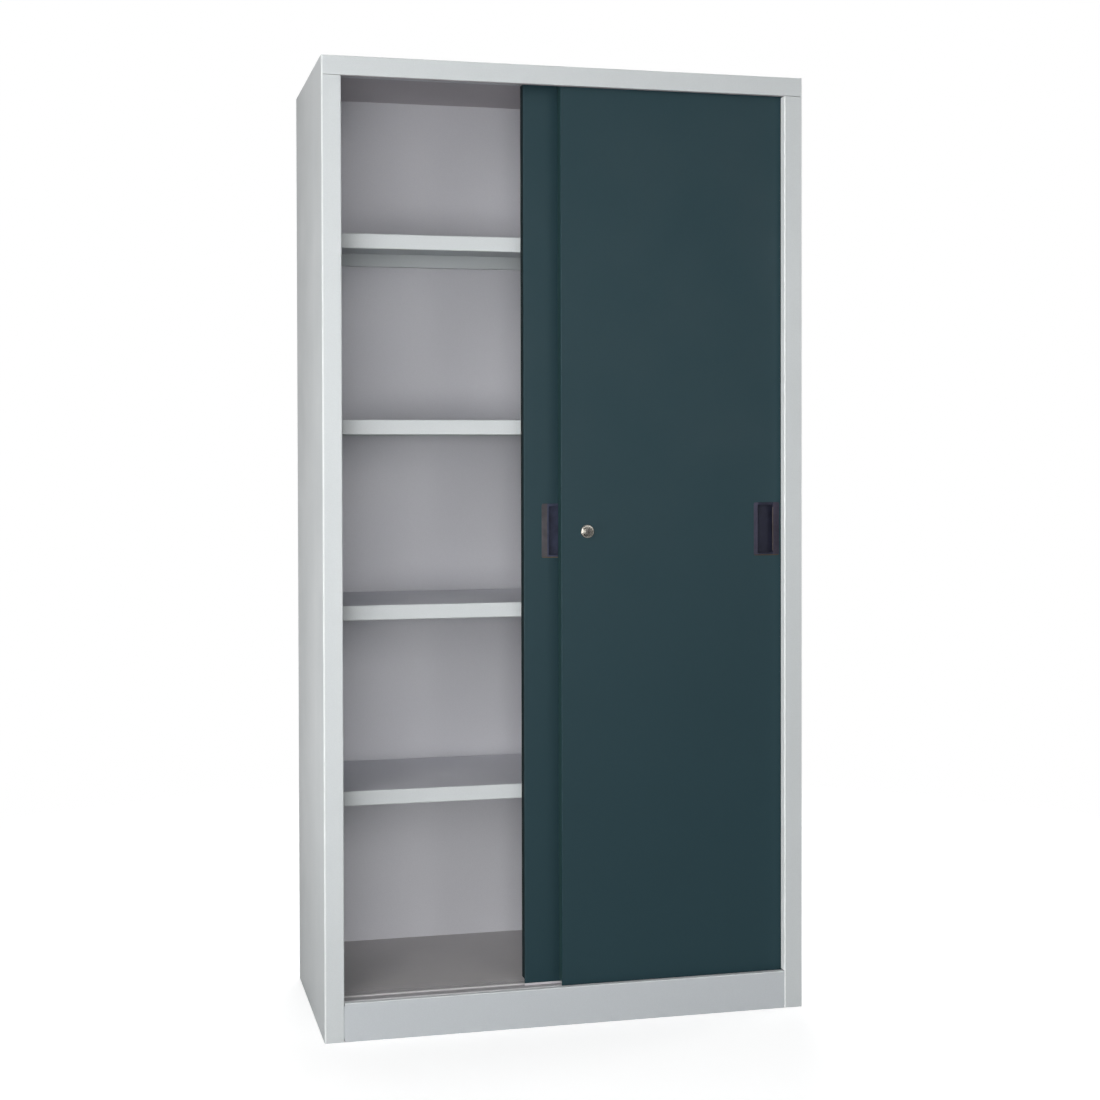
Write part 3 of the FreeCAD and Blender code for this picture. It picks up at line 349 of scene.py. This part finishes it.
# Patches on these paints: painted shade to the rear of the left side, under the top, on the floor's step and
# on the rear door's flange; painted highlights on the left post's bend, the right post's return and the
# plinth's top bend; painted light low on the back and on the front door's flange.
paints = {
    "carcass": powder_coat("carcass_powder_coat", GREY, OUTSIDE),
    "left_side_panel": powder_coat("left_side_powder_coat", GREY, OUTSIDE, (
        ({"soft": 0.16, "y": (0.06, None)}, SIDE_REAR_PAINTED_SHADE),
        ({"x": (None, left_low[0] + 0.0032), "y": (None, left_low[1] + 0.0025)}, POST_BEND_HIGHLIGHT),
    )),
    "right_side_panel": powder_coat("right_side_powder_coat", GREY, OUTSIDE, (
        ({"x": (None, right_low[0] + 0.0025), "y": (None, right_low[1] + 0.0300)}, POST_RETURN_HIGHLIGHT),
    )),
    "top_panel": powder_coat("top_powder_coat", GREY, OUTSIDE, (
        ({"y": (left_low[1] + 0.0015, None), "z": (None, top_high[2] - 0.0005)}, CEILING_PAINTED_SHADE),
    )),
    "plinth": powder_coat("plinth_powder_coat", PLINTH, OUTSIDE, (
        ({"z": (plinth_high[2] - 0.0016, None)}, PLINTH_BEND_HIGHLIGHT),
    )),
    "upright": powder_coat("inner_powder_coat", UPRIGHT, INSIDE),
    "back_panel": powder_coat("back_powder_coat", BACK, INSIDE, (
        ({"soft": 0.20, "z": (None, 0.55)}, BACK_LOW_PAINTED_LIGHT),
    )),
    "floor_panel": powder_coat("floor_powder_coat", FLOOR, INSIDE, (
        ({"y": (None, track_high[1] + 0.0005)}, FLOOR_STEP_PAINTED_SHADE),
    )),
    "front_door": powder_coat("door_powder_coat", TEAL, DOOR, (
        (left_flange("front_door_panel"), FRONT_FLANGE_PAINTED_LIGHT),
    )),
    "rear_door": powder_coat("rear_door_powder_coat", TEAL, DOOR, (
        (left_flange("rear_door_panel"), REAR_FLANGE_PAINTED_SHADE),
    ), left_flange("rear_door_panel")),
}
for shelf in ("shelf_1", "shelf_2", "shelf_3", "shelf_4"):
    paints[shelf] = shelf_coat(shelf)

materials = {
    "aluminium": metal("mill_aluminium", (0.60, 0.60, 0.61), 0.40, (4, 900, 900)),
    # The track's rib crests carry painted highlights.
    "track": metal("track_aluminium", TRACK, 0.48, (4, 900, 900), 0.0, (
        ({"z": (rear_highlight_start, None)}, REAR_CREST_HIGHLIGHT),
        ({"y": (None, between_ribs), "z": (None, front_highlight_start)}, TRACK),
        ({"y": (None, between_ribs), "z": (front_highlight_start, None)}, FRONT_CREST_HIGHLIGHT),
    ), 0.15),
    "zinc": metal("bright_zinc", (0.66, 0.67, 0.69), 0.34, (40, 300, 300), 0.35),
    "steel": metal("drawn_steel", (0.56, 0.57, 0.58), 0.25, (900, 40, 900)),
    "nickel": metal("lock_nickel", (0.37, 0.355, 0.32), 0.22, (300, 60, 300)),
    # The plunger and the plug are darker copies of the housing's nickel: painted dark reflection, for the
    # dark room they would mirror.
    "plunger": metal("lock_plunger_nickel_painted_dark_reflection", (0.25, 0.24, 0.215), 0.16, (300, 60, 300)),
    "plug": metal("lock_plug_nickel_painted_dark_reflection", (0.13, 0.125, 0.118), 0.25, (700, 60, 700)),
    "brass": metal("brass", (0.72, 0.55, 0.28), 0.3, (500, 60, 500)),
    "front_pull": moulded("front_pull_plastic", FRONT_PULL, 0.5, 1.5, pull_patches(
        "front_pull", (-0.0300, -0.0180), (0.0147, 0.0300), (0.0131, 0.0147),
        FRONT_PULL_LIP_PAINTED_LIGHT, FRONT_PULL_SILL), 0.2),
    "rear_pull": moulded("rear_pull_plastic", REAR_PULL_PAINTED_LIGHT, 0.5, 1.5, pull_patches(
        "rear_pull", (-0.0300, -0.0162), (0.0180, 0.0300), None,
        REAR_PULL_LIP_PAINTED_LIGHT, REAR_PULL_SILL), 0.2),
    "trim": moulded("trim_plastic", TRIM, 0.45, 1.04),
    "nylon": moulded("natural_nylon", (0.70, 0.69, 0.64), 0.5, 1.06),
    "rubber": moulded("black_rubber", (0.02, 0.02, 0.02), 0.75, 1.4),
}


# The look of each CAD node: by its own name, or else by the first of these that its name holds.
BY_PART_OF_NAME = (
    ("roller_bracket", materials["zinc"]),
    ("_axle", materials["steel"]),
    ("_roller", materials["nylon"]),
    ("_guide", materials["nylon"]),
    ("upright", paints["upright"]),
)
BY_NAME = {
    "front_pull": materials["front_pull"],
    "rear_pull": materials["rear_pull"],
    "front_door_panel": paints["front_door"],
    "front_door_stiffener": paints["front_door"],
    "rear_door_panel": paints["rear_door"],
    "rear_door_stiffener": paints["rear_door"],
    "shelf_clips": materials["zinc"],
    "top_track": materials["zinc"],
    "bottom_track": materials["track"],
    "back_rivets": materials["aluminium"],
    "door_bumpers": materials["rubber"],
    "lock_strike": materials["zinc"],
    "lock_housing": materials["nickel"],
    "lock_plunger": materials["plunger"],
    "lock_plug": materials["plug"],
    "lock_nut": materials["brass"],
    "lock_spring": materials["steel"],
}


def material_for(node):
    if node in BY_NAME:
        return BY_NAME[node]
    for words, look in BY_PART_OF_NAME:
        if words in node:
            return look
    return paints.get(node, paints["carcass"])


for name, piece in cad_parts.items():
    piece.data.materials.clear()
    piece.data.materials.append(material_for(name))


# ---------------------------------------------------------------------------
# Pieces that the solids don't have
# ---------------------------------------------------------------------------

def skinned(name, rings, material, smooth=False):
    """Piece skinned over a row of rings of points, with both ends closed."""
    shell = bmesh.new()
    loops = [[shell.verts.new(point) for point in ring] for ring in rings]
    for near, far in zip(loops, loops[1:]):
        for k in range(len(near)):
            after = (k + 1) % len(near)
            shell.faces.new((near[k], near[after], far[after], far[k])).smooth = smooth
    shell.faces.new(loops[0])
    shell.faces.new(loops[-1])
    bmesh.ops.recalc_face_normals(shell, faces=shell.faces)
    mesh = bpy.data.meshes.new(name)
    shell.to_mesh(mesh)
    shell.free()
    mesh.materials.append(material)
    piece = bpy.data.objects.new(name, mesh)
    scene.collection.objects.link(piece)
    return piece


def edge_trim(name, panel, body):
    """Plastic strip under the lower edge of a door's face, its corners and ends rounded off."""
    corner, end_length, end_size = 0.0004, 0.0006, 0.80
    low, high = BOX[panel]
    front, back = low[1] - 0.0002, low[1] + 0.0032
    top, bottom = low[2], low[2] - 0.0050
    profile = (
        (front + corner, top), (front, top - corner), (front, bottom + corner), (front + corner, bottom),
        (back - corner, bottom), (back, bottom + corner), (back, top - corner), (back - corner, top),
    )
    middle_y, middle_z = (front + back) / 2, (top + bottom) / 2
    stations = (
        (low[0], end_size), (low[0] + end_length, 1.0), (high[0] - end_length, 1.0), (high[0], end_size),
    )
    rings = [
        [(x, middle_y + (y - middle_y) * size, middle_z + (z - middle_z) * size) for y, z in profile]
        for x, size in stations
    ]
    piece = skinned(name, rings, materials["trim"])
    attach(piece, body)


edge_trim("rear_door_edge_trim", "rear_door_panel", "rear_door")
edge_trim("front_door_edge_trim", "front_door_panel", "front_door")


def lock_coil():
    """Spring behind the lock's plunger, with closed end turns."""
    turns, steps, sides, wire = 6, 24, 8, 0.0006
    closed, open_pitch = steps // 2, 3
    low, high = BOX["lock_spring"]
    middle = Vector([(a + b) / 2 for a, b in zip(low, high)])
    radius = (high[0] - low[0]) / 2 - wire
    start, length = low[1] + wire, high[1] - low[1] - 2 * wire
    count = turns * steps
    # How far the wire has climbed: slowly over the closed half turn at each end, faster between.
    wound = [
        min(k, closed) + min(max(k - closed, 0), count - steps) * open_pitch + max(k - count + closed, 0)
        for k in range(count + 1)
    ]
    path = []
    for k, share in enumerate(wound):
        angle = 2 * math.pi * k / steps
        path.append(Vector((
            middle.x + radius * math.cos(angle),
            start + length * share / wound[-1],
            middle.z + radius * math.sin(angle),
        )))
    turned = [2 * math.pi * side / sides for side in range(sides)]
    rings = []
    for k, place in enumerate(path):
        outward = Vector((place.x - middle.x, 0.0, place.z - middle.z)).normalized()
        along = (path[min(k + 1, count)] - path[max(k - 1, 0)]).normalized()
        across = along.cross(outward).normalized()
        rings.append([place + wire * (outward * math.cos(turn) + across * math.sin(turn)) for turn in turned])
    piece = skinned("lock_coil", rings, materials["steel"], smooth=True)
    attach(piece, "front_door")
    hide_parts("lock_spring")
    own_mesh(piece)


lock_coil()


# ---------------------------------------------------------------------------
# Studio
# ---------------------------------------------------------------------------

# The world's strength: on matt surfaces, and in reflections from straight in front, from where
# it rises to 1 over a span of the direction's y.
AMBIENT = 0.02
FRONT_MIRRORED = 0.18
FRONT_SPAN = (-0.9, -0.25)
# The floor's colour and glow where it is seen, its colour for the light it throws back, its glow
# in reflections, and the distances from the middle over which it fades into the white.
FLOOR_SIZE = 16.0
FLOOR_SEEN = 0.62
FLOOR_GLOW = 0.63
FLOOR_BOUNCE = 0.28
FLOOR_MIRRORED = 0.15
FLOOR_FADE = (0.9, 2.6)
AIM = (0.0, -0.1, 1.0)
LAMPS = (
    # name, place, width and height, watts
    ("left_low", (-2.2, -1.0, 0.5), (0.9, 0.9), 16.0),
    ("left_high", (-1.5, -1.9, 2.3), (0.9, 0.9), 11.0),
    ("front_left", (-0.7, -2.4, 1.3), (0.9, 0.9), 7.5),
    ("far_left", (-3.4, -4.5, 2.0), (2.4, 1.8), 43.0),
    ("far_front", (-1.7, -5.4, 0.8), (2.4, 1.5), 96.0),
    ("far_right", (2.1, -5.3, 2.0), (2.4, 1.8), 54.0),
    ("rear", (0.9, 4.0, 1.8), (2.4, 1.8), 115.0),
    ("right", (4.0, 0.6, 1.6), (2.4, 1.8), 80.0),
    ("overhead", (0.0, 0.8, 4.6), (2.0, 2.0), 50.0),
)
# Mirrored, these would clip the sides to white.
UNMIRRORED = ("rear", "right", "overhead")

# Metres, degrees, millimetres, and a share of the frame's width.
CAMERA_PLACE = (-0.9186, -3.8069, 1.1609)
CAMERA_YAW, CAMERA_PITCH, CAMERA_ROLL = 13.794, 0.845, -0.121
CAMERA_LENS, CAMERA_SENSOR = 59.678, 36.0
CAMERA_SHIFT = -0.0636


class StudioTree(Tree):
    """Node tree of the world or the floor, which look different to different kinds of ray."""

    def __init__(self, tree):
        super().__init__(tree)
        self.ray = self.node("ShaderNodeLightPath").outputs

    def by_ray(self, diffuse, mirrored, seen):
        """One number for diffuse rays, one for glossy and transmission rays, one for the camera."""
        reflected = self.math("MAXIMUM", self.ray["Is Glossy Ray"], self.ray["Is Transmission Ray"])
        to_camera = self.math("MULTIPLY", self.ray["Is Camera Ray"], self.math("SUBTRACT", seen, diffuse))
        to_mirror = self.math("MULTIPLY", reflected, self.math("SUBTRACT", mirrored, diffuse))
        return self.math("ADD", self.math("ADD", to_camera, to_mirror), diffuse)


def build_world():
    """Soft light from all round; white where it is seen, and darker in front for reflections."""
    world = bpy.data.worlds.new("studio")
    scene.world = world
    world.use_nodes = True
    studio = StudioTree(world.node_tree)
    background = studio.tree.nodes["Background"]
    background.inputs["Color"].default_value = (1.0, 1.0, 1.0, 1.0)
    direction = studio.node("ShaderNodeSeparateXYZ")
    studio.link(studio.node("ShaderNodeTexCoord").outputs["Generated"], direction.inputs["Vector"])
    mirrored = studio.span(direction.outputs["Y"], *FRONT_SPAN, FRONT_MIRRORED, 1.0)
    studio.link(studio.by_ray(AMBIENT, mirrored, 1.0), background.inputs["Strength"])


def build_floor():
    """Pale floor that keeps a light shadow and fades into the white surroundings."""
    just_below = (0.0, 0.0, -0.0004)
    bpy.ops.mesh.primitive_plane_add(size=FLOOR_SIZE, location=just_below)
    floor = bpy.context.object
    floor.name = "studio_floor"
    material = bpy.data.materials.new("studio_floor")
    material.use_nodes = True
    studio = StudioTree(material.node_tree)
    nodes = studio.tree.nodes
    nodes.remove(nodes["Principled BSDF"])
    matt = studio.node("ShaderNodeBsdfDiffuse")
    studio.link(studio.by_ray(FLOOR_BOUNCE, FLOOR_SEEN, FLOOR_SEEN), matt.inputs["Color"])
    glow = studio.node("ShaderNodeEmission")
    studio.link(studio.by_ray(0.0, FLOOR_MIRRORED, FLOOR_GLOW), glow.inputs["Strength"])
    lit = studio.node("ShaderNodeAddShader")
    studio.link(matt.outputs["BSDF"], lit.inputs[0])
    studio.link(glow.outputs["Emission"], lit.inputs[1])
    distance = studio.node("ShaderNodeVectorMath", operation="LENGTH")
    studio.link(studio.node("ShaderNodeTexCoord").outputs["Object"], distance.inputs[0])
    faded = studio.span(distance.outputs["Value"], *FLOOR_FADE)
    both = studio.node("ShaderNodeMixShader")
    studio.link(studio.math("MULTIPLY", faded, studio.by_ray(0.0, 1.0, 1.0)), both.inputs["Fac"])
    studio.link(lit.outputs["Shader"], both.inputs[1])
    studio.link(studio.node("ShaderNodeBsdfTransparent").outputs["BSDF"], both.inputs[2])
    studio.link(both.outputs["Shader"], nodes["Material Output"].inputs["Surface"])
    floor.data.materials.append(material)


def build_lamps():
    """Large soft lamps, all turned towards the cabinet's middle and hidden from the camera."""
    for name, place, (width, height), watts in LAMPS:
        light = bpy.data.lights.new(name, "AREA")
        light.shape = "RECTANGLE"
        light.size = width
        light.size_y = height
        light.energy = watts
        lamp = bpy.data.objects.new(name, light)
        lamp.location = place
        lamp.rotation_euler = (Vector(AIM) - Vector(place)).to_track_quat("-Z", "Y").to_euler()
        lamp.visible_camera = False
        lamp.visible_glossy = name not in UNMIRRORED
        scene.collection.objects.link(lamp)


def build_camera():
    """Camera at the eye point from which the front and the left side are seen, but no top."""
    yaw, pitch, roll = (math.radians(angle) for angle in (CAMERA_YAW, CAMERA_PITCH, CAMERA_ROLL))
    ahead = Vector((math.sin(yaw) * math.cos(pitch), math.cos(yaw) * math.cos(pitch), -math.sin(pitch)))
    level = Vector((math.cos(yaw), -math.sin(yaw), 0.0))
    upward = level.cross(ahead)
    right = level * math.cos(roll) + upward * math.sin(roll)
    up = upward * math.cos(roll) - level * math.sin(roll)
    data = bpy.data.cameras.new("camera")
    data.sensor_width = CAMERA_SENSOR
    data.lens = CAMERA_LENS
    data.shift_y = CAMERA_SHIFT
    data.clip_end = 50.0
    camera = bpy.data.objects.new("camera", data)
    turn = Matrix((right, up, -ahead)).transposed()
    camera.matrix_world = Matrix.Translation(CAMERA_PLACE) @ turn.to_4x4()
    scene.collection.objects.link(camera)
    scene.camera = camera


build_world()
build_floor()
build_lamps()
build_camera()
scene.view_settings.view_transform = "Standard"
